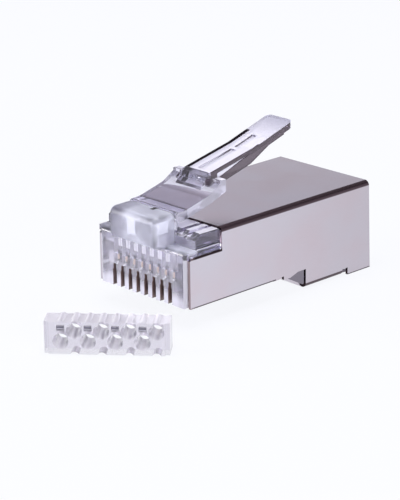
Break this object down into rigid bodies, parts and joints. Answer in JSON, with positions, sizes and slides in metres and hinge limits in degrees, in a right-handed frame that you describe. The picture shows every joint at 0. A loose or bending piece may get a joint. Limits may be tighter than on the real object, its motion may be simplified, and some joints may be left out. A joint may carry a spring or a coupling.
{
  "type": "shielded modular plug",
  "caption": "Clear modular network plug with a folded metal shield, gold contact blades and a sprung latch, its loose wire comb lying beside it.",
  "frame": {"origin": "on the front face, on the plug's centre plane, at the level of the flat contact side", "axes": "+X across the plug, +Y from the front face to the cable end, +Z out through the latch side"},
  "size_m": [0.0147, 0.0354, 0.0146],
  "materials": {
    "clear_plastic": "clear moulded polycarbonate, glossy",
    "nickel_sheet": "nickel-plated folded sheet, satin",
    "gold_contact": "gold flash over nickel on copper alloy"
  },
  "bodies": {
    "plug": {"housing": "clear_plastic", "shield": "nickel_sheet", "load_bar": "clear_plastic", "contact_1": "gold_contact", "contact_2": "gold_contact", "contact_3": "gold_contact", "contact_4": "gold_contact", "contact_5": "gold_contact", "contact_6": "gold_contact", "contact_7": "gold_contact", "contact_8": "gold_contact"},
    "latch": {"latch": "clear_plastic"}
  },
  "joints": [
    {"name": "latch_flex", "type": "hinge", "parent": "plug", "child": "latch", "pos_m": [0, 0.0018, 0.0074], "axis": [-1, 0, 0], "range_deg": [0, 14], "stiffness_Nm_per_rad": 0.03}
  ]
}
